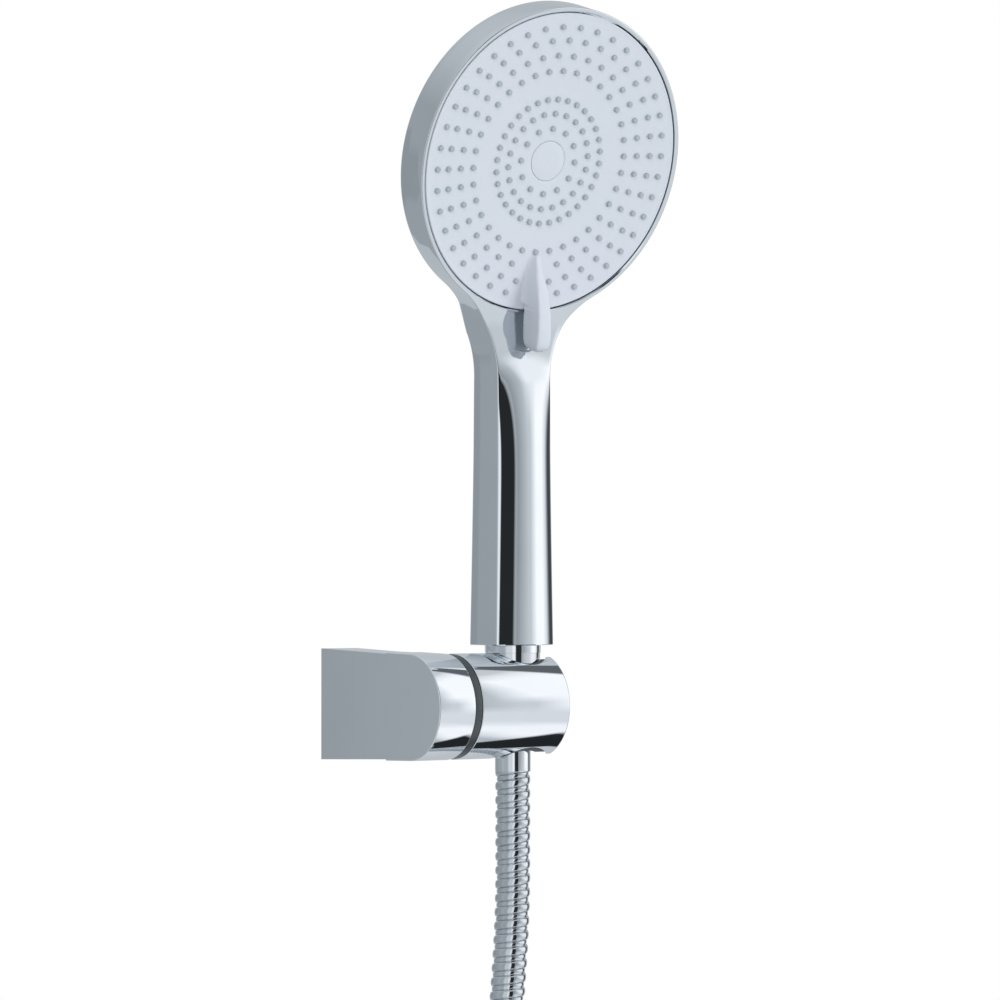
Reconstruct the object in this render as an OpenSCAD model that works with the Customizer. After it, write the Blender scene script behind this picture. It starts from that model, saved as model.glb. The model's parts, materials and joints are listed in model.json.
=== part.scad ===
// Handheld shower head with a wall bracket and a metal hose, in millimetres.
// +Z is up, the wall is the plane y = 0 and the shower stands out along -Y.
// The origin is the centre of the bracket's wall plate, on the wall.

/* [Bracket] */
// Distance from the wall to the tilting axis
projection = 61.5; // [56:0.5:70]
// Diameter of the bracket's barrel and of the tilting holder
barrel_d = 42; // [41:0.5:46]
// Width of the fixed base along the tilting axis
base_w = 17.5; // [16:0.5:22]
// Height of the fixed base where it meets the wall
base_h = 44.8; // [44:0.2:50]
// Visible width of the dark friction ring
ring_w = 3.4; // [2:0.2:5]
// Length of the tilting holder along its axis
holder_l = 43; // [42:0.5:50]
// Width of the slot that lets the hose into the holder
slot_w = 16.4; // [15.5:0.1:18]

/* [Handset] */
// Outside diameter of the spray head
head_d = 124.6; // [118:0.2:132]
// Thickness of the head's rim from front to back
head_t = 17; // [16.5:0.1:20]
// Forward lean of the spray face from upright
face_tilt = 17; // [14:0.5:20]
// Height of the face's centre above the tilting axis
face_z = 215; // [210:1:222]
// Distance of the face's centre in front of the handle's axis
face_out = 26.5; // [25:0.5:28]
// Height of the handle's bottom above the tilting axis
handle_z = 24.4; // [24:0.1:27]
// Width of the handle at its bottom
handle_w = 28.5; // [27:0.5:31]
// Width of the handle just below the head
neck_w = 26.4; // [25:0.2:28]

/* [Spray face] */
// Diameter of the round spray plate
plate_d = 120; // [114:0.2:120]
// Radius of a nozzle tip
nozzle_r = 1.15; // [0.9:0.05:1.25]
// Width of the selector lever
lever_w = 6.6; // [6:0.2:7.6]

/* [Hose] */
// Outside diameter of the metal hose
hose_d = 14; // [13:0.5:14.5]
// Mean diameter of the stored coil of hose
coil_d = 168; // [160:1:170]
// Distance between neighbouring turns of the coil
coil_step = 15; // [14.8:0.1:16]

/* [Hidden] */

CHROME = "silver";
STEEL = "lightslategray";
BRASS = "goldenrod";
DARK = "dimgray";
PALE = "lightsteelblue";
SILICONE = "darkgray";
RUBBER = "black";
WHITE = "whitesmoke";

// bracket
barrel_r = barrel_d / 2;
base_x = base_w / 2;
ring_x = base_x + ring_w;
holder_x0 = ring_x + 0.05;
holder_x1 = holder_x0 + holder_l;
bore_x = 42;
liner_r = 13.1;
screw_r = 3;
screw_head_x = 22.9;
counterbore_x = 22;

// conical nut and the holder's seat for it
nut_top_r = 11.2;
nut_neck_z = 21;
nut_low_z = -15.6;
nut_low_r = 9.6;
nut_slope = (nut_top_r - nut_low_r) / (nut_neck_z - nut_low_z);
seat_gap = 0.08;
thread_r = 10.4;
thread_z = 15.8;
stem_z = 11;

// head: x across, y up the face, z out of the face
head_r = head_d / 2;
plate_r = plate_d / 2;
rim_bore_r = plate_r + 0.5;
cavity_depth = 15.2;
plate_front = -0.4;
plate_back = -2.6;
mat_back = -4.0;
spreader_back = -5.8;
disc_back = -7.6;
housing_front = -7.8;
housing_back = -15;
channel_w = -11.3;
channel_r = 3.6;

// handle
front_low = 8.1;
front_top = 7.6;
depth_low = 20.5;
depth_top = 18.5;
bulge_low = 4.2;
bulge_top_z = 146;
bulge_run = 66;
bend_z = 153.2;
bend_r = 26;
fillet_r = 39;
pocket_r = 10.6;
pocket_z = 151.5;
pocket_depth = 4.4;

// [radius of the ring, number of nozzles in it, turn of the ring in nozzle steps]
NOZZLE_RINGS = [[13.2, 12, 0], [19.3, 22, 0], [25.1, 32, 0],
    [36.6, 34, 0], [42.8, 36, 0.5], [49, 38, 0], [54.4, 40, 0.5]];
// No nozzle stands closer than this to the lever's middle line, below its tip
LEVER_CLEAR = 6.4;
lever_tip = -38;
lever_top = 13.2;
lever_under = 4.4;
// Setting of the selector at rest, turned from its middle
face_turn = 1.8;

// hose route, as offsets from the holder's bore: [x, y, z]
UPPER_ROUTE = [[0, 0, -16], [0, 0, -28], [0, 0, -40], [0, 0, -52], [0, 0, -64], [0, 0, -73]];
hang_z = -80;
LOWER_ROUTE = [[0, 0, -73.4], [-0.2, 0, -80], [-0.8, 0, -92], [-1.7, 0, -104], [-2.8, 0, -116],
    [-3.7, 0, -128], [-4.2, 0, -140], [-4, 0, -152]];
drop_x = -4;
drop_z = -160;
swing_r = 60;
coil_r = coil_d / 2;
swing_a = acos(swing_r / (swing_r + coil_r));
coil_cx = drop_x + swing_r - (swing_r + coil_r) * cos(swing_a);
coil_cz = drop_z - (swing_r + coil_r) * sin(swing_a);
coil_turns = 2 + swing_a / 360;
coil_y = -coil_step * coil_turns;
tail_l = 78;
tail_x = coil_cx + coil_r;
tail_z = coil_cz - tail_l;

// ---------------------------------------------------------------- helpers

// Places children on the holder's upright bore axis
module at_bore() {
    translate([bore_x, -projection, 0]) children();
}

// Places children in the spray face's own frame
module in_head() {
    translate([bore_x, -projection - face_out, face_z]) rotate([90 + face_tilt, 0, 0]) children();
}

// Places children in the turning face's frame, at its setting
module in_face() {
    in_head() rotate([0, 0, face_turn]) children();
}

// Lays children's z axis along the tilting axis, starting at x
module on_pivot(x) {
    translate([x, -projection, 0]) rotate([0, 90, 0]) children();
}

// A round bar between two points
module bar(a, b, r) {
    d = b - a;
    len = norm(d);
    translate(a) rotate([0, acos(d.z / len), atan2(d.y, d.x)]) cylinder(r = r, h = len, $fn = 48);
}

// A flat ring or a tube along z
module tube(r_out, r_in, h) {
    difference() {
        cylinder(r = r_out, h = h, $fn = 96);
        translate([0, 0, -1]) cylinder(r = r_in, h = h + 2, $fn = 96);
    }
}

// Unit direction of a route at point i
function heading(p, i) =
    let (a = p[max(i - 1, 0)], b = p[min(i + 1, len(p) - 1)]) (b - a) / norm(b - a);

// One ring of a swept tube; the route lies close to an x-z plane, so y is never its heading
function hoop(c, t, r, sides) =
    let (u = cross(t, [0, 1, 0]) / norm(cross(t, [0, 1, 0])), v = cross(u, t))
    [for (k = [0 : sides - 1]) c + r * (cos(360 * k / sides) * u + sin(360 * k / sides) * v)];

// A round tube swept along points, with one radius for each point
module sweep(p, radii, sides = 12) {
    n = len(p);
    pts = [for (i = [0 : n - 1]) each hoop(p[i], heading(p, i), radii[i], sides)];
    walls = [for (i = [0 : n - 2], k = [0 : sides - 1])
        let (a = i * sides + k, b = i * sides + (k + 1) % sides)
        each [[a, b, b + sides], [a, b + sides, a + sides]]];
    first = [for (k = [sides - 1 : -1 : 0]) k];
    last = [for (k = [0 : sides - 1]) (n - 1) * sides + k];
    polyhedron(points = pts, faces = concat([first], walls, [last]), convexity = 6);
}

// Skins a list of closed sections that all have the same number of points
module loft(rings) {
    n = len(rings);
    m = len(rings[0]);
    pts = [for (r = rings) each r];
    walls = [for (i = [0 : n - 2], k = [0 : m - 1])
        let (a = i * m + k, b = i * m + (k + 1) % m)
        each [[a, b + m, b], [a, a + m, b + m]]];
    first = [for (k = [0 : m - 1]) k];
    last = [for (k = [m - 1 : -1 : 0]) (n - 1) * m + k];
    polyhedron(points = pts, faces = concat([first], walls, [last]), convexity = 8);
}

function blend(a, b, t) = a + (b - a) * t;

function all_nozzles() = [for (ring = NOZZLE_RINGS, k = [0 : ring[1] - 1])
    let (a = 90 + 360 * (k + ring[2]) / ring[1], x = ring[0] * cos(a), y = ring[0] * sin(a))
    if (!(y < lever_tip && abs(x) < LEVER_CLEAR)) [x, y]];

// ---------------------------------------------------------------- bracket

// D-shaped side outline of the base, from the wall to the round end
module base_outline(inset = 0) {
    r = barrel_r - inset;
    polygon(concat(
        [[0, -base_h / 2 + inset], [projection - 16, -r - 0.4]],
        [for (a = [-90 : 7.5 : 90]) [projection + r * cos(a), r * sin(a)]],
        [[projection - 16, r + 0.4], [0, base_h / 2 - inset]]));
}

module wall_plate() color(STEEL) difference() {
    translate([-6.5, -5, -19.5]) cube([13, 5, 39]);
    for (s = [-1, 1]) translate([0, 1, 13 * s]) rotate([90, 0, 0]) cylinder(r = 2.3, h = 8, $fn = 48);
    translate([0, -2.5, -20]) cylinder(r = 1.6, h = 5, $fn = 32);
}

module base_shell() color(CHROME) difference() {
    rotate([0, 0, -90]) rotate([90, 0, 0])
        translate([0, 0, -base_x]) linear_extrude(base_w) base_outline();
    translate([-base_x + 1.7, -36, -20]) cube([base_w - 3.4, 37, 40]);
    on_pivot(-4.5) cylinder(r = 5, h = base_w, $fn = 64);
    translate([0, -2.5, -base_h / 2 - 1]) cylinder(r = 1.65, h = 5, $fn = 32);
}

module grub_screw() color(STEEL) difference() {
    translate([0, -2.5, -base_h / 2 + 0.4]) cylinder(r = 1.58, h = 6.4, $fn = 32);
    translate([0, -2.5, -base_h / 2 - 0.6]) cylinder(r = 0.9, h = 2.6, $fn = 6);
}

module pivot_insert() color(BRASS) on_pivot(-4.4) tube(4.98, screw_r + 0.02, 13);

module pivot_screw() color(STEEL) difference() {
    union() {
        on_pivot(-2) cylinder(r = screw_r, h = screw_head_x + 2, $fn = 64);
        on_pivot(screw_head_x) cylinder(r = 5.4, h = 3.4, $fn = 64);
    }
    on_pivot(screw_head_x + 1) cylinder(r = 2.4, h = 4, $fn = 6);
}

module wave_washer() color(STEEL) on_pivot(counterbore_x + 0.1) tube(5.8, screw_r + 0.1, 0.75);

module friction_ring() color(DARK)
    on_pivot(base_x + 0.05) tube(barrel_r - 0.25, screw_r + 0.15, ring_w - 0.1);

module holder_shell() color(CHROME) difference() {
    on_pivot(holder_x0) cylinder(r = barrel_r, h = holder_l, $fn = 128);
    at_bore() translate([0, 0, -30]) cylinder(r = liner_r + 0.05, h = 60, $fn = 96);
    translate([bore_x, -projection - slot_w / 2, -30]) cube([20, slot_w, 60]);
    on_pivot(counterbore_x) cylinder(r = 6.2, h = 12, $fn = 64);
    on_pivot(holder_x0 - 1) cylinder(r = 4.55, h = 12, $fn = 64);
}

module holder_liner() color(DARK) intersection() {
    difference() {
        at_bore() translate([0, 0, -20.5]) cylinder(r = liner_r, h = 41, $fn = 96);
        at_bore() rotate_extrude($fn = 96) polygon([
            [0, nut_low_z - 8], [nut_low_r + seat_gap - 8 * nut_slope, nut_low_z - 8],
            [nut_top_r + seat_gap + 3 * nut_slope, nut_neck_z + 3], [0, nut_neck_z + 3]]);
        translate([bore_x, -projection - slot_w / 2, -30]) cube([20, slot_w, 60]);
    }
    on_pivot(holder_x0) cylinder(r = barrel_r - 0.8, h = holder_l, $fn = 128);
}

module pivot_bush() color(WHITE) on_pivot(holder_x0 + 0.05) tube(4.5, screw_r + 0.05, 9.7);

// ---------------------------------------------------------------- hose end in the nut

module hose_stem() color(BRASS) at_bore() translate([0, 0, stem_z]) tube(9.2, 4.2, 2.7);

module upper_ferrule() color(STEEL) at_bore() translate([0, 0, UPPER_ROUTE[0].z])
    tube(7.6, 4.2, stem_z - UPPER_ROUTE[0].z);

module hose_upper() color(CHROME) at_bore()
    sweep(UPPER_ROUTE, [for (p = UPPER_ROUTE) hose_d / 2]);

// ---------------------------------------------------------------- handset

// Depth of the handle's front face ahead of its axis, at height z
function front_at(z) = blend(front_low, front_top, min(1, (z - handle_z) / 100));

// How far the front bulges out at height z; it grows quickly below the neck and then stays
function bulge_at(z) =
    let (t = max(0, min(1, (bulge_top_z - z) / bulge_run)))
    bulge_low * (1 - pow(1 - t, 3.6)) * min(1, 8 * t);

// Half of the outline's width at distance v above the face's centre, measured up the face
function outline(v) =
    let (w = neck_w / 2, cx = w + fillet_r, cv = -sqrt(pow(head_r + fillet_r, 2) - cx * cx))
    v > cv * head_r / (head_r + fillet_r) ? sqrt(max(head_r * head_r - v * v, 0)) :
    v > cv ? cx - sqrt(fillet_r * fillet_r - pow(v - cv, 2)) : w;

// One handle section: half width w, depth t, front bulge b, back corner radius r
function section(w, t, b, r) = concat(
    [for (i = [0 : 8]) [-w + w * i / 4, -b * (1 - pow(-1 + i / 4, 2))]],
    [for (a = [0 : 22.5 : 90]) [w - r + r * cos(a), t - r + r * sin(a)]],
    [for (i = [1 : 3]) [(w - r) * (1 - i / 2), t + 0.8 * (1 - pow(1 - i / 2, 2))]],
    [for (a = [90 : 22.5 : 180]) [-(w - r) + r * cos(a), t - r + r * sin(a)]]);

// Puts a section at [distance in front of the axis, height] with its back turned by lean
function stand(sec, out, z, lean) =
    [for (p = sec) [p.x, -out + p.y * cos(lean), z + p.y * sin(lean)]];

// Point of the face's front plane at distance v up the face
function face_point(v) = [face_out - v * -sin(face_tilt), face_z + v * cos(face_tilt)];

STRAIGHT = [for (z = [handle_z, 45, 65, 85, 105, 122, 130, 137, 143, 148.6]) z];
BEND = [for (i = [1 : 4]) i / 4];
TOP = [-57, -54, -50, -46, -42];

function handle_rings() = concat(
    [for (z = STRAIGHT)
        let (f = (z - handle_z) / (bend_z - handle_z), v = (z - bend_z) - plate_r + 1)
        stand(section(max(outline(v), blend(handle_w, neck_w, min(1, f * 1.4)) / 2),
            blend(depth_low, depth_top, f), bulge_at(z), 5),
            front_at(z), z, 0)],
    [for (f = BEND)
        let (a = face_tilt * f, v = blend(148.6 - bend_z - plate_r + 1, TOP[0] - 1, f))
        stand(section(outline(v), depth_top, 0, 5),
            front_top + bend_r * (1 - cos(a)), 149.2 + bend_r * sin(a), a)],
    [for (v = TOP) let (c = face_point(v))
        stand(section(outline(v) - 0.6, head_t - 0.6, 0, 5), c[0], c[1], face_tilt)]);

// Hollow route that the water takes up the handle and into the head
channel_low = [0, 0, 128];
channel_mid = [0, -face_out + 62.5 * sin(face_tilt) - channel_w * cos(face_tilt),
    face_z - 62.5 * cos(face_tilt) - channel_w * sin(face_tilt)];
channel_top = [0, -face_out + 52 * sin(face_tilt) - channel_w * cos(face_tilt),
    face_z - 52 * cos(face_tilt) - channel_w * sin(face_tilt)];

module channel(r, grow = 0) {
    bar(channel_low, channel_mid, r + grow);
    bar(channel_mid, channel_top, r + grow);
    translate(channel_mid) sphere(r = r + grow + 0.3, $fn = 48);
}

module head_can() rotate_extrude($fn = 180) polygon(concat(
    [[0, -head_t - 2.2], [20, -head_t - 1.95], [38, -head_t - 1.2], [50, -head_t - 0.4]],
    [for (a = [-90 : 15 : 0]) [head_r - 3.5 + 3.5 * cos(a), -head_t + 3.5 + 3.5 * sin(a)]],
    [[head_r, -0.9], [head_r - 0.8, 0], [0, 0]]));

module handset_shell() color(CHROME) difference() {
    union() {
        at_bore() loft(handle_rings());
        in_head() head_can();
    }
    in_head() translate([0, 0, -cavity_depth]) cylinder(r = rim_bore_r, h = 60, $fn = 180);
    at_bore() translate([0, 0, handle_z - 1]) cylinder(r = 6.6, h = 106, $fn = 64);
    at_bore() translate([-10.5, -4, 30]) cube([21, 12.5, 94]);
    at_bore() channel(channel_r, 0.25);
    difference() {
        at_bore() translate([0, -front_top + pocket_depth, pocket_z]) rotate([90, 0, 0])
            cylinder(r = pocket_r, h = 20, $fn = 96);
        in_head() translate([0, 0, -41.2]) cylinder(r = rim_bore_r + 0.8, h = 40, $fn = 180);
    }
    in_head() for (a = [90, 210, 330]) rotate([0, 0, a])
        translate([22, 0, -cavity_depth - 2.8]) cylinder(r = 1.3, h = 4, $fn = 32);
}

module waterway() color(WHITE) at_bore() difference() {
    union() {
        translate([0, 0, thread_z]) cylinder(r = thread_r - 0.05, h = handle_z - thread_z, $fn = 96);
        translate([0, 0, handle_z - 0.5]) cylinder(r = 6.4, h = 104.2, $fn = 64);
        channel(channel_r);
    }
    translate([0, 0, thread_z - 1]) cylinder(r = 8.2, h = 6.4, $fn = 64);
    translate([0, 0, thread_z]) cylinder(r = 4.9, h = 110, $fn = 64);
    channel(channel_r - 1.1);
}

module inlet_washer() color(RUBBER) at_bore() translate([0, 0, 13.8]) tube(9.2, 5, 1.95);

module inlet_filter() color(STEEL) at_bore() translate([0, 0, thread_z + 0.05]) difference() {
    cylinder(r = 8.1, h = 1.2, $fn = 64);
    for (x = [-4.5 : 1.5 : 4.5], y = [-4.5 : 1.5 : 4.5])
        if (x * x + y * y < 26) translate([x - 0.5, y - 0.5, -1]) cube([1, 1, 4]);
}

module flow_restrictor() color("seagreen") at_bore() translate([0, 0, thread_z + 1.4]) difference() {
    cylinder(r = 8.1, h = 3.8, $fn = 64);
    for (a = [0 : 60 : 300]) rotate([0, 0, a]) translate([4.2, 0, -1]) cylinder(r = 1.2, h = 8, $fn = 24);
}

// The conical nut turns on the hose and clamps it to the handset's thread
module cone_nut() color(CHROME) at_bore() difference() {
    rotate_extrude($fn = 128) polygon([[0, nut_low_z], [nut_low_r - 0.6, nut_low_z],
        [nut_low_r, nut_low_z + 0.6], [nut_top_r, nut_neck_z], [nut_top_r, handle_z - 0.05],
        [0, handle_z - 0.05]]);
    translate([0, 0, thread_z - 0.02]) cylinder(r = thread_r, h = 12, $fn = 96);
    translate([0, 0, stem_z - 0.15]) cylinder(r = 9.3, h = 5, $fn = 96);
    translate([0, 0, nut_low_z - 1]) cylinder(r = 7.75, h = 30, $fn = 96);
}

// Fixed back half of the spray chamber
module spray_housing() color(WHITE) in_head() difference() {
    translate([0, 0, housing_back]) cylinder(r = plate_r - 0.4, h = housing_front - housing_back, $fn = 144);
    difference() {
        translate([0, 0, housing_back + 3]) cylinder(r = 51, h = 12, $fn = 144);
        cylinder(r = 5, h = 40, center = true, $fn = 48);
        translate([30, 0, -20]) cylinder(r = 4, h = 20, $fn = 48);
        for (a = [90, 210, 330]) rotate([0, 0, a]) translate([22, 0, -20]) cylinder(r = 3, h = 8, $fn = 48);
    }
    translate([0, 0, -12.8]) cylinder(r = 1.6, h = 10, $fn = 48);
    translate([30, 0, -13]) cylinder(r = 2.3, h = 10, $fn = 48);
    for (a = [90, 210, 330]) rotate([0, 0, a]) translate([22, 0, -20]) cylinder(r = 1.3, h = 12, $fn = 32);
    translate([0, -plate_r + 14, channel_w]) rotate([90, 0, 0])
        cylinder(r = channel_r + 0.25, h = 20, $fn = 48);
}

module housing_screws() color(STEEL) in_head() for (a = [90, 210, 330]) rotate([0, 0, a])
    translate([22, 0, 0]) {
        translate([0, 0, -cavity_depth - 2.6]) cylinder(r = 1.2, h = 6, $fn = 32);
        translate([0, 0, -11.95]) cylinder(r = 2.6, h = 1.6, $fn = 32);
    }

module chamber_seal() color(RUBBER) in_head() translate([0, 0, housing_front + 0.05]) tube(56, 54.2, 1.85);

module detent_spring() color(STEEL) in_head() sweep(
    [for (i = [0 : 64]) [30 + 1.6 * cos(i * 25), 1.6 * sin(i * 25), -12.7 + 3.0 * i / 64]],
    [for (i = [0 : 64]) 0.25], 6);

module detent_ball() color(STEEL) in_head() translate([30, 0, -7.9]) sphere(r = 1.9, $fn = 48);

module face_screw() color(STEEL) in_head() difference() {
    union() {
        translate([0, 0, -12.7]) cylinder(r = 1.55, h = 9.6, $fn = 48);
        translate([0, 0, mat_back + 0.1]) cylinder(r = 3.4, h = 1.9, $fn = 48);
    }
    translate([0, 0, mat_back + 1.2]) cylinder(r = 1.2, h = 2, $fn = 6);
}

// ---------------------------------------------------------------- turning spray face

module nozzle_circles(r) for (p = all_nozzles()) translate(p) circle(r = r, $fn = 16);

module spray_plate() color(PALE) in_face() difference() {
    union() {
        translate([0, 0, plate_back]) linear_extrude(plate_front - plate_back) difference() {
            circle(r = plate_r, $fn = 180);
            nozzle_circles(nozzle_r + 0.05);
        }
        hull() {
            translate([0, lever_tip - 0.6, -0.9]) sphere(r = 0.8, $fn = 16);
            translate([0, -54.5, plate_back + 0.4]) cylinder(r = lever_w / 2, h = 1, $fn = 24);
            translate([0, -58, 9]) cylinder(r = lever_w / 2 - 0.2, h = 0.8, $fn = 24);
        }
        hull() {
            translate([0, -57, 3]) cylinder(r = lever_w / 2, h = 1, $fn = 24);
            translate([0, -58, 9]) cylinder(r = lever_w / 2 - 0.2, h = 0.8, $fn = 24);
            translate([0, -71, lever_under]) cylinder(r = lever_w / 2, h = 1, $fn = 24);
            translate([0, -69.5, lever_top - 0.8]) cylinder(r = lever_w / 2 - 0.2, h = 0.8, $fn = 24);
        }
    }
    translate([0, 0, plate_front - 1.6]) cylinder(r = 8.1, h = 4, $fn = 72);
    translate([0, 0, plate_back - 1]) cylinder(r = 3.6, h = 8, $fn = 48);
}

module nozzle_mat() color(SILICONE) in_face() difference() {
    union() {
        translate([0, 0, mat_back + 0.05]) cylinder(r = plate_r - 2.5, h = 1.3, $fn = 144);
        translate([0, 0, mat_back + 0.5]) linear_extrude(plate_front + 1.3 - mat_back - 0.5)
            nozzle_circles(nozzle_r);
    }
    translate([0, 0, mat_back - 1]) cylinder(r = 3.6, h = 8, $fn = 48);
}

module distributor() color(WHITE) in_head() difference() {
    translate([0, 0, spreader_back]) cylinder(r = plate_r - 1.5, h = mat_back - spreader_back, $fn = 144);
    translate([0, 0, spreader_back - 1]) cylinder(r = 1.6, h = 8, $fn = 48);
    for (q = [[18, 12, 2.2], [41, 18, 2.6]], k = [0 : q[1] - 1]) rotate([0, 0, (k + 0.5) * 360 / q[1]])
        translate([q[0], 0, spreader_back - 1]) cylinder(r = q[2], h = 4, $fn = 24);
}

module diverter_disc() color(DARK) in_head() difference() {
    translate([0, 0, disc_back]) cylinder(r = 26, h = spreader_back - disc_back - 0.02, $fn = 96);
    translate([0, 0, disc_back - 1]) cylinder(r = 1.6, h = 8, $fn = 48);
    for (a = [60 : 60 : 360]) rotate([0, 0, a]) translate([14, 0, disc_back - 1]) cylinder(r = 3, h = 4, $fn = 32);
}

module centre_cap() color(PALE) in_head() difference() {
    translate([0, 0, plate_front - 1.5]) cylinder(r = 8, h = 1.8, $fn = 72);
    translate([0, 0, plate_front - 2.5]) cylinder(r = 3.8, h = 1.2, $fn = 48);
}

// ---------------------------------------------------------------- stored hose

module hose_lower() color(CHROME) at_bore() {
    swing = [for (a = [0 : 8 : swing_a]) [drop_x + swing_r * (1 - cos(a)), 0, drop_z - swing_r * sin(a)]];
    route = concat(LOWER_ROUTE, swing);
    sweep(route, concat([2.5], [for (i = [1 : len(route) - 1]) hose_d / 2]));
}

module hose_coil() color(CHROME) at_bore() translate([coil_cx, 0, coil_cz]) rotate([90, 0, 0])
    rotate_extrude($fn = 144) translate([coil_r, 0]) 
            polygon([[-7, -7], [7, -7], [7, -coil_y + 7], [-7, -coil_y + 7]]);

module hose_tail() color(CHROME) at_bore()
    sweep([for (i = [0 : 4]) [tail_x, coil_y, blend(coil_cz, tail_z, i / 4)]], [for (i = [0 : 4]) hose_d / 2]);

// Strap round the turns where the hose joins the coil
module hose_tie() color(DARK) at_bore() translate([coil_cx, 0, coil_cz]) rotate([0, -swing_a, 0])
    translate([coil_r, coil_y / 2, 0]) difference() {
        cube([hose_d + 4, hose_d - coil_y + 4, 12], center = true);
        cube([hose_d + 1, hose_d - coil_y + 1, 14], center = true);
    }

module lower_ferrule() color(STEEL) at_bore() translate([tail_x, coil_y, tail_z - 14]) cylinder(r = 7.9, h = 14, $fn = 64);

module tail_stem() color(BRASS) at_bore() translate([tail_x, coil_y, tail_z - 14]) {
    translate([0, 0, -9]) tube(6, 4.5, 9);
    translate([0, 0, -10.5]) tube(9.4, 4.5, 2.5);
}

module nut_washer() color(RUBBER) at_bore() translate([tail_x, coil_y, tail_z - 26.5]) tube(9.4, 5, 2);

// Hexagonal nut that screws to the wall outlet
module wall_nut() color(CHROME) at_bore() translate([tail_x, coil_y, tail_z - 35]) difference() {
    intersection() {
        cylinder(r = 12 / cos(30), h = 18, $fn = 6);
        rotate_extrude($fn = 96) polygon([[0, 0], [12.4, 0], [13.9, 1.2], [13.9, 16.8], [12.4, 18], [0, 18]]);
    }
    translate([0, 0, -1]) cylinder(r = thread_r, h = 9.5, $fn = 96);
    translate([0, 0, 5]) cylinder(r = 9.7, h = 8.6, $fn = 96);
    translate([0, 0, 5]) cylinder(r = 6.3, h = 20, $fn = 64);
}

wall_plate();
base_shell();
grub_screw();
pivot_insert();
pivot_screw();
wave_washer();
friction_ring();
holder_shell();
holder_liner();
pivot_bush();
hose_stem();
upper_ferrule();
hose_upper();
handset_shell();
waterway();
inlet_washer();
inlet_filter();
flow_restrictor();
cone_nut();
spray_housing();
housing_screws();
chamber_seal();
detent_spring();
detent_ball();
face_screw();
spray_plate();
nozzle_mat();
distributor();
diverter_disc();
centre_cap();
hose_lower();
hose_coil();
hose_tail();
hose_tie();
lower_ferrule();
tail_stem();
nut_washer();
wall_nut();
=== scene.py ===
# %% [markdown]
# # A hand shower on its wall bracket
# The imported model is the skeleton: it holds every part at its real size and place. This lesson
# dresses it. Shapes that need soft edges or real relief are modelled again round the same
# measures, and every surface gets a finish built from nodes.
# All modelling is done in millimetres and shrunk to metres once, when a mesh becomes an object.

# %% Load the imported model
import json
import math
import random

import bmesh
import bpy
import numpy as np
from mathutils import Matrix, Vector


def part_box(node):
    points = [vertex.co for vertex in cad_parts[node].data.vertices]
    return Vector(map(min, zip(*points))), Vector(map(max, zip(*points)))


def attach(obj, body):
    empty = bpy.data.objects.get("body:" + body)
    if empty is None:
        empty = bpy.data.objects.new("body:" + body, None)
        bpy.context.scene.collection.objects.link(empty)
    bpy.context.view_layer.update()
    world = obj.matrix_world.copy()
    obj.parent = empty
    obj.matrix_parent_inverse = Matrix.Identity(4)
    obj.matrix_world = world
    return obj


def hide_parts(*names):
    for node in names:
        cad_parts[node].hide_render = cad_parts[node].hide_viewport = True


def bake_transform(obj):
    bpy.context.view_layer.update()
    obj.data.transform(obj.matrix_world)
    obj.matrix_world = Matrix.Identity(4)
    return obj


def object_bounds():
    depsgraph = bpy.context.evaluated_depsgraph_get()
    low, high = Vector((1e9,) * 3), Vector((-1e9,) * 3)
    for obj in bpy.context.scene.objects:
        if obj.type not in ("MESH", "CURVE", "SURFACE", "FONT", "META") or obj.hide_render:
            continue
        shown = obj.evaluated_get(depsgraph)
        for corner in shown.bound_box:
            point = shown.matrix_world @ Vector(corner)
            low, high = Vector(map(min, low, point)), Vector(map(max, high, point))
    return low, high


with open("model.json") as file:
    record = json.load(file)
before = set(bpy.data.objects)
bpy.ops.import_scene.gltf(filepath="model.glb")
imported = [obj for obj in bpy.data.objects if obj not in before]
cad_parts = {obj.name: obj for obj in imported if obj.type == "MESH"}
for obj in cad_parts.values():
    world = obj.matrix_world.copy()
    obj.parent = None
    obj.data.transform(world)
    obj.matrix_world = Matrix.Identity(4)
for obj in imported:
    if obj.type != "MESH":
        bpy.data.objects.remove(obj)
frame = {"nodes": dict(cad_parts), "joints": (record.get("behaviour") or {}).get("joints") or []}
cad_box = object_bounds()
MM = 0.001


# %% [markdown]
# ## Where things are
# The bore that holds the handset is found from the conical nut, and the spray face from the
# joint that turns it. Working from the model's own joints keeps the looks and the motion together.

# %% Driving places and sizes, in millimetres
def middle(node):
    low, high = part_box(node)
    return (Vector(low) + Vector(high)) / 2 / MM


def joint(name):
    return next(j for j in frame["joints"] if j["name"] == name)


select = joint("spray_select")
face_centre = Vector(select["pos_m"]) / MM
bore = Vector((face_centre.x, middle("cone_nut").y, 0))
face_out = Vector(select["axis"]).normalized()
face_up = face_out.cross(Vector((1, 0, 0)))
FACE = Matrix((Vector((1, 0, 0)), face_up, face_out)).transposed().to_4x4()
FACE.translation = face_centre
BORE = Matrix.Translation(bore)
FACE_TURN = 1.8  # degrees; the spray face rests a little off the middle of its travel
FACE_SET = FACE @ Matrix.Rotation(math.radians(FACE_TURN), 4, "Z")
print("bore", tuple(round(c, 1) for c in bore), "face", tuple(round(c, 1) for c in face_centre))

# %% [markdown]
# ## The camera
# A long lens a good way off, to the left of the shower and a little below its middle. It is made
# first, because the stored hose has to lie outside its view.

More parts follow.
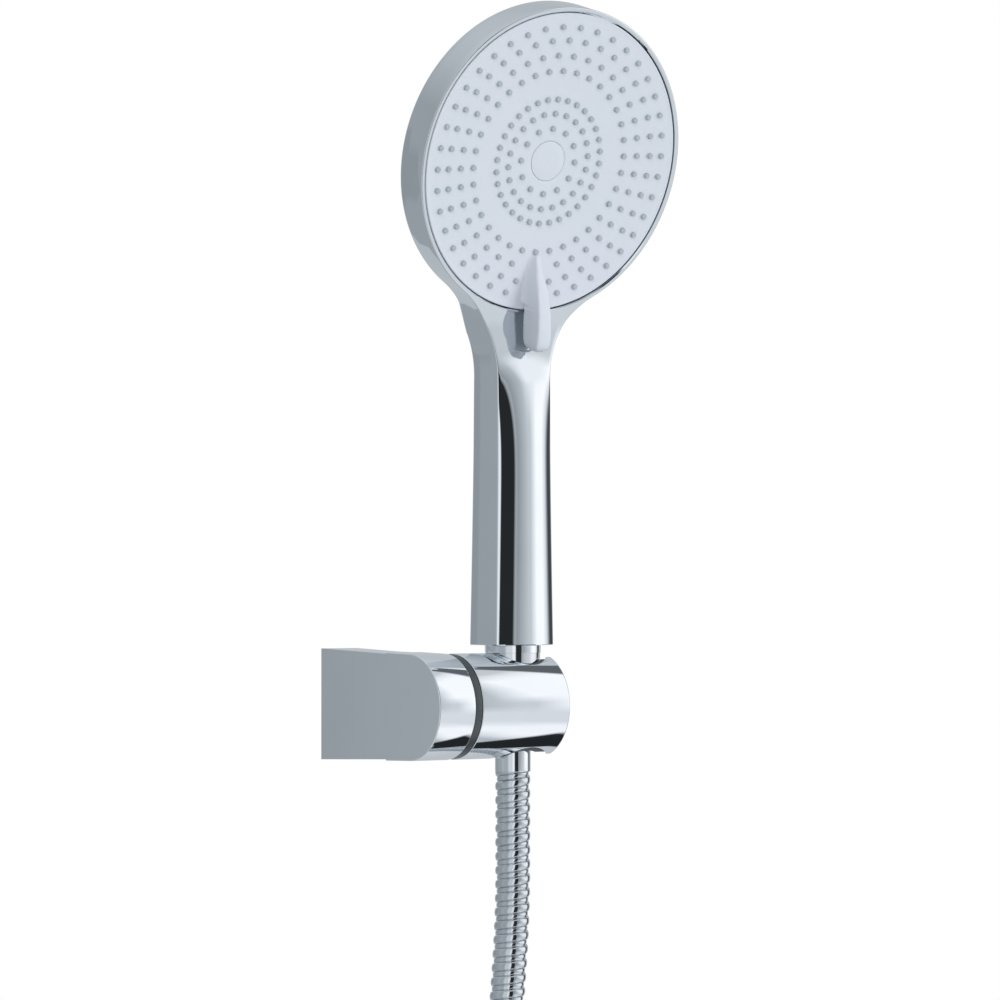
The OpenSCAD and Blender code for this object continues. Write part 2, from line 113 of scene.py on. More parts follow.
# %% Camera
LENS = 152.05
DISTANCE = 1.7
AZIMUTH = math.radians(-36.42)
ELEVATION = math.radians(-1.04)
SENSOR_WIDTH = 36
target = Vector((0.04400, -0.05019, 0.08225))
back = Vector((math.sin(AZIMUTH) * math.cos(ELEVATION), -math.cos(AZIMUTH) * math.cos(ELEVATION),
               math.sin(ELEVATION)))
camera_data = bpy.data.cameras.new("camera")
camera_data.lens = LENS
camera_data.sensor_width = SENSOR_WIDTH
camera_data.clip_start = 0.05
camera_data.clip_end = 30
camera = bpy.data.objects.new("camera", camera_data)
bpy.context.scene.collection.objects.link(camera)
camera.location = target + back * DISTANCE
camera.rotation_euler = (-back).to_track_quat("-Z", "Y").to_euler()
bpy.context.scene.camera = camera


# %% [markdown]
# ## From a bmesh to a piece
# Every new piece goes through the same door: doubles merged, normals turned outwards, smooth
# shading with the true corners kept sharp, millimetres to metres, and then the body it rides on.

# %% Helpers for making pieces
FLAT_AREA = 45.0  # square millimetres; faces larger than this are true flats
DOUBLES = 1e-4    # millimetres; corners closer than this are one corner


def smooth_with_corners(bm, corner):
    limit = math.radians(corner)
    for face in bm.faces:
        face.smooth = face.calc_area() < FLAT_AREA
    for edge in bm.edges:
        edge.smooth = len(edge.link_faces) < 2 or edge.calc_face_angle(0) < limit


def piece(bm, name, body, stands_for=(), corner=32, turn_out=True):
    bmesh.ops.remove_doubles(bm, verts=bm.verts, dist=DOUBLES)
    if turn_out:
        bmesh.ops.recalc_face_normals(bm, faces=bm.faces)
    smooth_with_corners(bm, corner)
    bmesh.ops.scale(bm, vec=(MM, MM, MM), verts=bm.verts)
    mesh = bpy.data.meshes.new(name)
    bm.to_mesh(mesh)
    bm.free()
    made = bpy.data.objects.new(name, mesh)
    bpy.context.scene.collection.objects.link(made)
    if body:
        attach(made, body)
    if stands_for:
        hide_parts(*stands_for)
    return made


def chain(bm, points):
    """An open line of edges through (radius, height) points, in the x-z plane."""
    verts = [bm.verts.new((r, 0, z)) for r, z in points]
    return verts + [bm.edges.new(pair) for pair in zip(verts, verts[1:])]


def turned(points, place, steps):
    """A lathe shape: the profile is spun once round z and set in its place."""
    bm = bmesh.new()
    bmesh.ops.spin(bm, geom=chain(bm, points), cent=(0, 0, 0), axis=(0, 0, 1),
                   angle=math.tau, steps=steps, use_merge=True)
    bmesh.ops.transform(bm, matrix=place, verts=bm.verts)
    bmesh.ops.remove_doubles(bm, verts=bm.verts, dist=DOUBLES)
    return bm


def new_verts(grown):
    return [g for g in grown if isinstance(g, bmesh.types.BMVert)]


def arc(cx, cz, radius, start, end, steps):
    """Points on a round corner of a profile, angles in degrees."""
    return [(cx + radius * math.cos(math.radians(start + (end - start) * i / steps)),
             cz + radius * math.sin(math.radians(start + (end - start) * i / steps)))
            for i in range(steps + 1)]


def carve(bm, cutter):
    """Cuts one closed shape out of another and gives the result as a new bmesh."""
    objects = []
    for shape in (bm, cutter):
        bmesh.ops.recalc_face_normals(shape, faces=shape.faces)
        mesh = bpy.data.meshes.new("carved")
        shape.to_mesh(mesh)
        shape.free()
        objects.append(bpy.data.objects.new("carved", mesh))
        bpy.context.scene.collection.objects.link(objects[-1])
    cut = objects[0].modifiers.new("cut", "BOOLEAN")
    cut.operation = "DIFFERENCE"
    cut.solver = "EXACT"
    cut.object = objects[1]
    graph = bpy.context.evaluated_depsgraph_get()
    result = bmesh.new()
    result.from_mesh(bpy.data.meshes.new_from_object(objects[0].evaluated_get(graph)))
    for made in objects:
        bpy.data.objects.remove(made)
    return result


def step_up(x, low, high):
    """Smooth step: 0 below low, 1 above high."""
    t = min(1, max(0, (x - low) / (high - low)))
    return t * t * (3 - 2 * t)


# %% [markdown]
# ## The hose
# A shower hose is a strip of metal wound in a helix, so its skin is one wide rounded band and one
# narrow lower band, over and over. It could be a plain tube with a bump texture, but the outline
# would stay straight. Here one turn of the strip is spun, copied end to end until it is 1.44 m
# long, and then laid along the hose's route: down from the nut, and round into a stored coil.

# %% The hose's route, in millimetres from the bore
UPPER_ROUTE = [(0, 0, -16), (0, 0, -28), (0, 0, -40), (0, 0, -52), (0, 0, -64), (0, 0, -73)]
LOWER_ROUTE = [(-0.2, 0, -80), (-0.8, 0, -92), (-1.7, 0, -104), (-2.8, 0, -116),
               (-3.7, 0, -128), (-4.2, 0, -140), (-4, 0, -152)]
DROP_X, DROP_Z = -4, -160
SWING_R, COIL_R, COIL_STEP = 60, 84, 15
TAIL_L = 78
HOSE_D = 14
SWING_STEP, COIL_STEPS, TAIL_STEPS = 4, 200, 8  # degrees between points, and numbers of points
swing_angle = math.acos(SWING_R / (SWING_R + COIL_R))
coil_x = DROP_X + SWING_R - (SWING_R + COIL_R) * math.cos(swing_angle)
coil_z = DROP_Z - (SWING_R + COIL_R) * math.sin(swing_angle)
coil_angle = 2 * math.tau + swing_angle


def swing_point(a):
    return (DROP_X + SWING_R * (1 - math.cos(a)), 0, DROP_Z - SWING_R * math.sin(a))


def coil_point(done):
    a = swing_angle - done
    return (coil_x + COIL_R * math.cos(a), -COIL_STEP * done / math.tau, coil_z + COIL_R * math.sin(a))


route = UPPER_ROUTE + LOWER_ROUTE
route += [swing_point(math.radians(a)) for a in range(0, int(math.degrees(swing_angle)), SWING_STEP)]
route += [coil_point(coil_angle * i / COIL_STEPS) for i in range(COIL_STEPS + 1)]
tail_x, tail_y, tail_top = coil_point(coil_angle)
route += [(tail_x, tail_y, tail_top - TAIL_L * i / TAIL_STEPS) for i in range(1, TAIL_STEPS + 1)]
route = [bore + Vector(p) for p in route]
print("route of", len(route), "points, coil", 2 * COIL_R, "mm across at the middle of its turns")

# %% One turn of the wound strip, copied along the hose's length
PITCH = 5.6
TURN_STEPS = 24
NEARLY_A_TURN = 0.95
STRIP_GAP = 0.01  # millimetres; the turns' edges are closer than this where they join
# radius and height of the strip's section: the wide band, then the narrow one
STRIP = [(5.95, 0), (6.62, 0.18), (6.93, 0.75), (7.08, 1.75), (6.95, 2.75), (6.66, 3.32), (5.95, 3.5),
         (6.3, 3.72), (6.42, 4.5), (6.3, 5.34), (5.95, PITCH)]


def wound_strip(length):
    """One turn, doubled again and again; the last copy takes only the turns still missing."""
    bm = bmesh.new()
    bmesh.ops.spin(bm, geom=chain(bm, STRIP), cent=(0, 0, 0), axis=(0, 0, 1),
                   dvec=(0, 0, PITCH / TURN_STEPS), angle=math.tau, steps=TURN_STEPS)
    turns = 1
    wanted = math.ceil(length / PITCH)
    while turns < wanted:
        more = min(turns, wanted - turns)
        source = list(bm.faces)
        if more < turns:
            source = [f for f in source if f.calc_center_median().z < (more + NEARLY_A_TURN) * PITCH]
        copy = bmesh.ops.duplicate(bm, geom=source)["geom"]
        bmesh.ops.translate(bm, vec=(0, 0, turns * PITCH), verts=new_verts(copy))
        turns += more
    bmesh.ops.remove_doubles(bm, verts=bm.verts, dist=STRIP_GAP)
    return bm


# %% Lay the straight strip along the route
PATH_GAP, PATH_PASSES, PATH_EASINGS = 2, 2, 12


def distances(line):
    """How far along the line each of its points is."""
    return np.concatenate([[0], np.cumsum(np.linalg.norm(np.diff(line, axis=0), axis=1))])


def even_path(points):
    """The same route with points the same distance apart, its corners eased."""
    line = np.array([tuple(p) for p in points])
    for _ in range(PATH_PASSES):
        along = distances(line)
        marks = np.linspace(0, along[-1], int(along[-1] / PATH_GAP))
        line = np.stack([np.interp(marks, along, line[:, k]) for k in range(3)], axis=1)
        for _ in range(PATH_EASINGS):
            line[1:-1] = (line[:-2] + 2 * line[1:-1] + line[2:]) / 4
    return line


def lay_along(bm, line):
    """Bends a mesh that stands on z so that its z axis follows the line."""
    along = distances(line)
    heading = np.gradient(line, axis=0)
    heading /= np.linalg.norm(heading, axis=1)[:, None]
    side = np.zeros_like(line)
    side[0] = np.cross(heading[0], (0, 1, 0))
    for i in range(1, len(line)):
        side[i] = side[i - 1] - heading[i] * (side[i - 1] @ heading[i])
        side[i] /= np.linalg.norm(side[i])
    straight = np.array([v.co for v in bm.verts])
    travel = np.clip(straight[:, 2], 0, along[-1])
    centre, ahead, across = (np.stack([np.interp(travel, along, a[:, k]) for k in range(3)], axis=1)
                             for a in (line, heading, side))
    ahead /= np.linalg.norm(ahead, axis=1)[:, None]
    placed = centre + straight[:, :1] * across + straight[:, 1:2] * np.cross(ahead, across)
    for v, p in zip(bm.verts, placed):
        v.co = p
    return bm


# What reaches past the route's ends is squashed flat there, and then taken away
SQUASHED_AREA = 1e-5
hose_line = even_path(route)
hose_length = float(distances(hose_line)[-1])
strip = lay_along(wound_strip(hose_length), hose_line)
squashed = [f for f in strip.faces if f.calc_area() < SQUASHED_AREA]
bmesh.ops.delete(strip, geom=squashed, context="FACES")
bmesh.ops.holes_fill(strip, edges=[e for e in strip.edges if e.is_boundary])
hose = piece(strip, "hose_strip", None, corner=50)
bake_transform(hose)
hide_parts("hose_upper", "hose_lower", "hose_coil", "hose_tail")
hose_triangles = sum(len(p.vertices) - 2 for p in hose.data.polygons)
print("hose", round(hose_length), "mm long,", hose_triangles, "triangles")

# %% [markdown]
# The hose leaves the nut through a short smooth crimp sleeve. It rides with the hose's end and
# hides where the strip begins.

# %% Crimp sleeve
SLEEVE_R, SLEEVE_BORE, SLEEVE_TOP, SLEEVE_LOW = 7.12, 6.3, -14.8, -26.2
sleeve_profile = [(SLEEVE_BORE, SLEEVE_TOP), (SLEEVE_R - 0.07, SLEEVE_TOP), (SLEEVE_R, SLEEVE_TOP - 0.6),
                  (SLEEVE_R, SLEEVE_LOW + 0.6)] + arc(SLEEVE_R - 0.5, SLEEVE_LOW + 0.2, 0.5, 0, -70, 4) \
    + [(SLEEVE_BORE + 0.05, SLEEVE_LOW), (SLEEVE_BORE, SLEEVE_TOP)]
sleeve = piece(turned(sleeve_profile, BORE, 64), "crimp_sleeve", "hose_end")
print("crimp sleeve", round(SLEEVE_TOP - SLEEVE_LOW, 1), "mm long")

# %% [markdown]
# The stored coil is held by a strap: one loop of woven band with round ends, wide enough for all
# the turns side by side. Its outline is drawn once, pushed out to the band's width and thickened.

# %% The strap round the coil
STRAP_W, STRAP_T, STRAP_ROUND, STRAP_ROWS = 16, 1.3, 7.2, 4
ROUND_STEPS = 8
coil_depth = COIL_STEP * coil_angle / math.tau


def strap_outline(width, height):
    """A rounded rectangle, centred, as (x, y) points."""
    points = []
    for quarter, (sx, sy) in enumerate(((1, 1), (-1, 1), (-1, -1), (1, -1))):
        cx, cy = sx * (width / 2 - STRAP_ROUND), sy * (height / 2 - STRAP_ROUND)
        points += arc(cx, cy, STRAP_ROUND, 90 * quarter, 90 * quarter + 90, ROUND_STEPS)
    return points


def strap_band():
    bm = bmesh.new()
    outline = strap_outline(HOSE_D + 2, HOSE_D + coil_depth + 2)
    loop = [bm.verts.new((x, y, -STRAP_W / 2)) for x, y in outline]
    ring = [bm.edges.new((a, b)) for a, b in zip(loop, loop[1:] + loop[:1])]
    for _ in range(STRAP_ROWS):
        grown = bmesh.ops.extrude_edge_only(bm, edges=ring)["geom"]
        bmesh.ops.translate(bm, vec=(0, 0, STRAP_W / STRAP_ROWS), verts=new_verts(grown))
        ring = [g for g in grown if isinstance(g, bmesh.types.BMEdge)]
    bmesh.ops.recalc_face_normals(bm, faces=bm.faces)
    bmesh.ops.solidify(bm, geom=bm.faces[:], thickness=-STRAP_T)
    place = Matrix.Translation(middle("hose_tie")) @ Matrix.Rotation(-swing_angle, 4, "Y")
    bmesh.ops.transform(bm, matrix=place, verts=bm.verts)
    return bm


strap = piece(strap_band(), "coil_strap", "hose_drop", ["hose_tie"], corner=50)
print("strap faces", len(strap.data.polygons))

# %% [markdown]

# %% [markdown]
# ## The handset's shell
# The shell is one plated plastic moulding: a round can that runs down into a handle, with one
# flank all the way round and a crisp ridge between flank and front. Joining a cylinder to a bar
# leaves a seam just where the metal should flow. So a flat sheet is laid over the whole half
# outline instead: one way along the sheet follows the outline from the bottom of the handle to
# the top of the head, the other way goes from the front's middle over the ridge and the flank
# to the back's middle. The sheet is bent forward at the neck, mirrored and closed.

# %% The outline of the shell and its depth
HEAD_R, FILLET_R, NECK_HALF = 62.3, 39.0, 13.2
FLARE, FLARE_RUN, FLARE_SHAPE = 1.05, 0.75, 1.3  # the handle widens a little towards its bottom
FACE_OUT, FACE_Z = bore.y - face_centre.y, face_centre.z
TILT = math.atan2(-face_out.z, -face_out.y)
HANDLE_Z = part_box("handset_shell")[0].z / MM
FRONT_TOP, FRONT_LOW, FRONT_STARTS, FRONT_RUN = 7.6, 8.1, 25.0, 100.0
BEND_R = 26.0
DEPTH_LOW, DEPTH_TOP, RIM_DEPTH, BACK_DOME = 20.5, 18.5, 17.0, 2.2
BULGE, BULGE_TOP, BULGE_RUN, BULGE_SHAPE, BULGE_EASE = 4.2, 143.0, 63.0, 3.6, 0.22
BACK_CROWN, BACK_ROUND, BACK_ROUND_LESS = 1.2, 5.0, 1.5
HEAD_STARTS, HEAD_REACHED = -88, -42  # between these the back's depth turns from handle to head
RIDGE_R = 0.45
neck_s = -math.sqrt((HEAD_R + FILLET_R) ** 2 - (NECK_HALF + FILLET_R) ** 2)
neck_turn = math.atan2(NECK_HALF + FILLET_R, -neck_s)
bend_s = (FRONT_TOP + BEND_R * (1 - math.cos(TILT)) - FACE_OUT) / math.sin(TILT)
bend_z = FACE_Z + bend_s * math.cos(TILT) - BEND_R * math.sin(TILT)
bend_low_s = bend_s - BEND_R * TILT
low_s = bend_low_s - (bend_z - HANDLE_Z)
print("handle runs from", round(low_s, 1), "to the neck at", round(neck_s, 1))


def height_of(s):
    """Height above the tilting axis of a point on the straight part of the handle."""
    return bend_z + (s - bend_low_s)


def outline_at(run):
    """Edge point, inward direction and middle point; run 0 is the handle's bottom, 3 the head's top."""
    if run < 1:
        s = low_s + run * (neck_s - low_s)
        w = NECK_HALF + FLARE * max(0, 1 - run / FLARE_RUN) ** FLARE_SHAPE
        return Vector((w, s)), Vector((-1, 0)), Vector((0, s))
    if run < 2:
        a = (run - 1) * (math.pi / 2 - neck_turn)
        away = Vector((-math.cos(a), math.sin(a)))
        centre = Vector((NECK_HALF + FILLET_R, neck_s))
        return centre + FILLET_R * away, away, Vector((0, neck_s * (2 - run)))
    a = -math.pi / 2 + neck_turn + (run - 2) * (math.pi - neck_turn)
    away = Vector((math.cos(a), math.sin(a)))
    return HEAD_R * away, -away, Vector((0, 0))


def back_depth(p, half):
    """How far the back lies behind the front plane at a flat point."""
    in_head = step_up(p.y, HEAD_STARTS, HEAD_REACHED)
    far = min(1, p.length / HEAD_R)
    head = RIM_DEPTH + BACK_DOME * (1 - far * far)
    along = min(1, max(0, (p.y - low_s) / (bend_low_s - low_s)))
    crown = BACK_CROWN * (1 - min(1, abs(p.x) / half) ** 2)
    handle = DEPTH_LOW + (DEPTH_TOP - DEPTH_LOW) * along + crown
    return handle + (head - handle) * in_head


def front_bulge(p, half):
    """The front of the handle swells out below the neck."""
    t = min(1, max(0, (BULGE_TOP - height_of(p.y)) / BULGE_RUN))
    swell = (1 - (1 - t) ** BULGE_SHAPE) * step_up(t, 0, BULGE_EASE)
    return BULGE * swell * (1 - min(1, abs(p.x) / half) ** 2)


def bent(p, depth):
    """From the flat sheet to the real place: face plane above, round bend, upright handle below."""
    if p.y >= bend_s:
        return FACE @ Vector((p.x, p.y, -depth))
    a = max(0, (p.y - bend_low_s) / BEND_R)
    r = BEND_R + depth
    out = FRONT_TOP + BEND_R - r * math.cos(a)
    z = bend_z + r * math.sin(a) if a > 0 else height_of(p.y)
    out += (FRONT_LOW - FRONT_TOP) * max(0, (bend_low_s - p.y - FRONT_STARTS) / FRONT_RUN)
    return Vector((bore.x + p.x, bore.y - out, z))


# %% Lay the sheet over half the shell
# How the sheet's rows are shared out between the parts of the section
SECTION = [("front", 14), ("ridge", 4), ("flank", 4), ("corner", 7), ("back", 12)]


def section_point(row, edge, inward, mid, half):
    for part, rows in SECTION:
        if row <= rows:
            break
        row -= rows
    t = row / rows
    if part == "front":
        p = mid.lerp(edge + inward * RIDGE_R, t)
        return p, -front_bulge(p, half)
    if part == "ridge":
        a = t * math.pi / 2
        p = edge + inward * RIDGE_R * (1 - math.sin(a))
        return p, RIDGE_R * (1 - math.cos(a)) - front_bulge(p, half)
    round_r = BACK_ROUND - BACK_ROUND_LESS * step_up(edge.y, HEAD_STARTS, HEAD_REACHED)
    full = back_depth(edge + inward * round_r, half)
    if part == "flank":
        return edge, RIDGE_R + t * (full - round_r - RIDGE_R)
    if part == "corner":
        a = t * math.pi / 2
        p = edge + inward * round_r * (1 - math.cos(a))
        crowned = step_up(a, 0, 1.2)
        return p, back_depth(p, half) * crowned + full * (1 - crowned) - round_r + round_r * math.sin(a)
    p = (edge + inward * round_r).lerp(mid, t)
    return p, back_depth(p, half)


# How its columns are shared out between the handle, the fillet at the neck and the head
ALONG = (60, 26, 72)
SEAM_GAP, BOTTOM_INSET, BOTTOM_DROP = 0.004, 0.35, 0.3
rows_across = sum(rows for _, rows in SECTION)
bm = bmesh.new()
bmesh.ops.create_grid(bm, x_segments=sum(ALONG), y_segments=rows_across, size=1)
for v in bm.verts:
    column = (v.co.x + 1) / 2 * sum(ALONG)
    run = np.interp(column, np.cumsum((0,) + ALONG), (0, 1, 2, 3))
    row = (v.co.y + 1) / 2 * rows_across
    edge, inward, mid = outline_at(float(run))
    p, depth = section_point(round(row, 4), edge, inward, mid, max(edge.x, NECK_HALF))
    v.co = bent(p, depth)
other = bmesh.ops.duplicate(bm, geom=bm.faces[:])["geom"]
for v in new_verts(other):
    v.co.x = 2 * bore.x - v.co.x
bmesh.ops.reverse_faces(bm, faces=[g for g in other if isinstance(g, bmesh.types.BMFace)])
bmesh.ops.remove_doubles(bm, verts=bm.verts, dist=SEAM_GAP)
bmesh.ops.dissolve_degenerate(bm, edges=bm.edges, dist=0.003)
rim = [e for e in bm.edges if e.is_boundary]
bottom = bmesh.ops.edgeloop_fill(bm, edges=rim)["faces"]
bmesh.ops.inset_region(bm, faces=bottom, thickness=BOTTOM_INSET, depth=0)
bmesh.ops.translate(bm, vec=(0, 0, -BOTTOM_DROP), verts=list({v for f in bottom for v in f.verts}))
print("open edges", sum(e.is_boundary for e in bm.edges), "bottom faces", len(bottom))

# %% [markdown]
# The spray parts sit in a round cavity, and the lever moves in a shallow pocket below it. Both
# are cut with exact shapes, and the cavity's cutter has a small cone at its mouth so that the rim
# gets its bright edge. The walls inside get a near-black finish: painted shade that keeps the
# gap round the spray face dark.

# %% Cut the cavity and the lever's pocket
CAVITY_R, CAVITY_DEPTH, RIM_EDGE = 60.5, 15.2, 0.35
WALL, RIM_WALL = 0.8, 1.2        # what stays between the cavity and the pocket
CUT_OUT, CUT_BACK = 22, 40       # how far the cutters reach past what they cut
cavity = turned([(0, -CAVITY_DEPTH), (CAVITY_R, -CAVITY_DEPTH), (CAVITY_R, -RIM_EDGE),
                 (CAVITY_R + RIM_EDGE, 0), (CAVITY_R + RIM_EDGE + 0.6, 1), (0, 1)], FACE, 180)
shell = carve(bm, cavity)
print("cavity cut, volume", round(shell.calc_volume()),
      "open or odd edges", sum(not e.is_manifold for e in shell.edges))
POCKET_R, POCKET_Z, POCKET_DEPTH, POCKET_ROUND = 10.6, 151.5, 1.3, 0.7
lying = Matrix.Translation((bore.x, bore.y - FRONT_TOP + POCKET_DEPTH, POCKET_Z)) \
    @ Matrix.Rotation(math.pi / 2, 4, "X")
pocket = turned([(0, 0), (POCKET_R - POCKET_ROUND, 0)]
                + arc(POCKET_R - POCKET_ROUND, POCKET_ROUND, POCKET_ROUND, -90, 0, 5)
                + [(POCKET_R, CUT_OUT), (0, CUT_OUT)], lying, 96)
# the pocket's cutter stops short of the cavity, so that the thin wall between them stays
kept_wall = turned([(0, -CUT_BACK), (CAVITY_R + WALL, -CUT_BACK), (CAVITY_R + WALL, -RIM_WALL),
                    (0, -RIM_WALL)], FACE, 180)
shell = carve(shell, carve(pocket, kept_wall))
into_face = FACE.inverted()
# painted shade: the cavity's wall faces get the second, near-black finish, so the gap round the plate stays
# dark
for face in shell.faces:
    at = into_face @ face.calc_center_median()
    face.material_index = int(at.xy.length < CAVITY_R + 0.2 and -CAVITY_DEPTH - 0.2 < at.z < -RIM_EDGE - 0.1)
print("cavity shade faces", sum(f.material_index == 1 for f in shell.faces))
handset = piece(shell, "handset_body", "handset", ["handset_shell"], corner=28)
# the rim round the spray face is a true flat
for polygon in handset.data.polygons:
    if polygon.normal.dot(face_out) > 0.9999:
        polygon.use_smooth = False
print("shell faces", len(handset.data.polygons))

# %% [markdown]
# ## The spray face
# One moulded plate, slightly dished, with the selector lever growing out of its lower edge. The
# plate is a lathe shape. The lever is a tall fin with a flat top: its sections are placed one
# after another down the plate and skinned, and its foot is flared so that it melts into the plate.

# %% The plate and its cap
PLATE_R, PLATE_EDGE, PLATE_BACK, DISH, CAP_R = 60.0, -0.4, -3.95, 3.0, 8.0


def plate_height(r):
    return PLATE_EDGE - DISH * (1 - min(1, r / PLATE_R) ** 2)


groove = [(CAP_R + 0.1, plate_height(CAP_R) - 0.5), (CAP_R + 0.1, plate_height(CAP_R) - 0.15),
          (CAP_R + 0.28, plate_height(CAP_R))]
dish = [(r, plate_height(r)) for r in np.linspace(CAP_R + 1, PLATE_R - 0.6, 22)]
plate_profile = [(0, PLATE_BACK), (0, plate_height(CAP_R) - 0.5)] + groove + dish \
    + arc(PLATE_R - 0.5, PLATE_EDGE - 0.5, 0.5, 80, 0, 4) + [(PLATE_R, PLATE_BACK), (0, PLATE_BACK)]
plate = piece(turned(plate_profile, FACE_SET, 180), "face_plate", "selector",
              ["spray_plate"], corner=40)
cap_top = plate_height(CAP_R) + 0.12
cap_low = cap_top - 0.6
cap_profile = [(0, cap_low), (0, cap_top + 0.06), (4, cap_top + 0.05)] \
    + arc(CAP_R - 0.3, cap_top - 0.3, 0.3, 90, 0, 4) + [(CAP_R, cap_low), (0, cap_low)]
cap = piece(turned(cap_profile, FACE_SET, 96), "cap_disc", "selector", ["centre_cap"],
            corner=40)
print("plate dished", DISH, "mm, cap at", round(cap_top, 2))

# %% The screw under the cap, its head sunk below the dished plate
SCREW_R, SCREW_HEAD_R, SCREW_LOW, SCREW_TOP = 1.45, 2.9, -12.7, -4.2
head_low, recess = SCREW_TOP - 1.6, SCREW_TOP - 0.9
screw_profile = [(0, SCREW_LOW), (SCREW_R - 0.3, SCREW_LOW), (SCREW_R, SCREW_LOW + 0.4), (SCREW_R, head_low),
                 (SCREW_HEAD_R, head_low), (SCREW_HEAD_R, SCREW_TOP - 0.3), (SCREW_HEAD_R - 0.3, SCREW_TOP),
                 (0.9, SCREW_TOP), (0.8, recess), (0, recess)]
screw = piece(turned(screw_profile, FACE, 48), "sunk_screw", "handset", ["face_screw"])
print("screw", SCREW_TOP - SCREW_LOW, "mm long")

# %% The selector lever
# place along the plate (down is minus), half width of the top and of the foot, height, underside
LEVER = [(-37.9, 0.5, 0.9, -1.0, -3.0), (-38.6, 0.85, 1.9, -0.2, -3.0), (-40.5, 1.15, 2.6, 0.9, -3.0),
         (-43.0, 1.5, 2.9, 2.2, -3.0), (-46.0, 1.9, 3.15, 4.0, -3.0), (-49.0, 2.3, 3.3, 5.8, -3.0),
         (-52.0, 2.6, 3.4, 7.4, -3.0), (-55.0, 2.8, 3.45, 8.8, -3.0), (-57.6, 2.95, 3.45, 9.8, -3.0),
         (-58.6, 3.0, 3.45, 10.2, -2.6), (-59.2, 3.0, 3.45, 10.4, 0.6), (-61.5, 3.1, 3.45, 11.0, 0.9),
         (-65.0, 3.2, 3.5, 11.9, 1.6), (-68.0, 3.25, 3.5, 12.4, 2.4), (-70.6, 3.25, 3.45, 12.6, 3.0),
         (-72.4, 3.1, 3.3, 12.35, 3.7), (-73.6, 2.7, 2.9, 11.7, 4.7), (-74.2, 2.0, 2.2, 10.6, 6.0)]
FOOT_FLARE = 1.6
PLATE_ENDS = (56.5, 58.8)  # down the plate, where the lever leaves it and stands free
SUNK = 0.7                 # how far the foot is sunk in the plate, so that no gap shows


def lever_section(v, top, foot, height, under):
    """Half a section from the top's middle, over its rounded edge and down the wall."""
    edge = min(0.7, top * 0.5)
    base = plate_height(abs(v)) - 0.12
    on_plate = 1 - step_up(-v, *PLATE_ENDS)
    bottom = max(under, base) if on_plate > 0.5 else under
    half = [(top * f, height + 0.12 * (1 - f * f)) for f in (0, 0.35, 0.6)]
    half += [(top - edge + edge * math.sin(a), height - edge + edge * math.cos(a))
             for a in (math.radians(d) for d in (10, 32, 55, 78))]
    for f in (0.12, 0.3, 0.5, 0.65, 0.78, 0.88, 0.95, 1.0):
        spread = FOOT_FLARE * on_plate * max(0, (f - 0.55) / 0.45) ** 3
        half.append((top + (foot - top) * f + spread, height - edge + (bottom - height + edge) * f))
    sunk = SUNK if on_plate > 0.5 else 0.0
    half.append((foot + FOOT_FLARE * on_plate - 0.35, bottom - sunk - 0.3))
    half.append(((foot + FOOT_FLARE * on_plate) * 0.5, bottom - sunk - 0.35))
    half.append((0, bottom - sunk - 0.35))
    return half


def eased(table, steps):
    """More stations between the given ones, on a smooth curve through them."""
    rows = [np.array(row) for row in table]
    out = []
    for i in range(len(rows) - 1):
        a, b, c, d = rows[max(i - 1, 0)], rows[i], rows[i + 1], rows[min(i + 2, len(rows) - 1)]
        for k in range(steps):
            t = k / steps
            out.append(0.5 * (2 * b + (c - a) * t + (2 * a - 5 * b + 4 * c - d) * t ** 2
                              + (3 * b - a - 3 * c + d) * t ** 3))
    return out + [rows[-1]]


bm = bmesh.new()
loops = []
for station in eased(LEVER, 3):
    half = lever_section(*station)
    whole = half + [(-x, w) for x, w in half[-2:0:-1]]
    verts = [bm.verts.new((x, station[0], w)) for x, w in whole]
    loops.append([bm.edges.new(pair) for pair in zip(verts, verts[1:] + verts[:1])])
for first, second in zip(loops, loops[1:]):
    bmesh.ops.bridge_loops(bm, edges=first + second)
ends = bmesh.ops.holes_fill(bm, edges=[e for e in bm.edges if e.is_boundary])["faces"]
bmesh.ops.inset_individual(bm, faces=ends, thickness=0.35, depth=0.3)
bmesh.ops.transform(bm, matrix=FACE_SET, verts=bm.verts)
lever = piece(bm, "selector_lever", "selector", corner=60)

# %% [markdown]
# ## The nozzles
# A sheet of silicone lies behind the plate, and its soft tips come through in seven rings. One
# tip is made with a few dozen faces, dimple and all, and then copied to every place.

# %% Silicone tips
# radius of the ring, number of tips, turn in tip steps
RINGS = [(13.2, 12, 0), (19.3, 22, 0), (25.1, 32, 0), (36.6, 34, 0), (42.8, 36, 0.5), (49.0, 38, 0),
         (54.4, 40, 0.5)]
LEVER_CLEAR, LEVER_TIP = 6.4, -38
TIP_R, TIP_OUT, TIP_LENGTH, TIP_LEAN = 1.17, 1.0, 2.2, 0.03


def one_tip():
    bm = bmesh.new()
    bmesh.ops.create_cone(bm, cap_ends=True, segments=12, radius1=TIP_R + 0.08, radius2=TIP_R - 0.06,
                          depth=TIP_LENGTH)
    bmesh.ops.translate(bm, vec=(0, 0, TIP_OUT - TIP_LENGTH / 2), verts=bm.verts)
    top = max(bm.faces, key=lambda f: f.calc_center_median().z)
    bmesh.ops.bevel(bm, geom=top.edges[:], affect="EDGES", offset=0.3, segments=2, profile=0.5, material=-1)
    top = max(bm.faces, key=lambda f: f.calc_center_median().z)
    bmesh.ops.inset_individual(bm, faces=[top], thickness=0.4, depth=-0.1)
    return bm


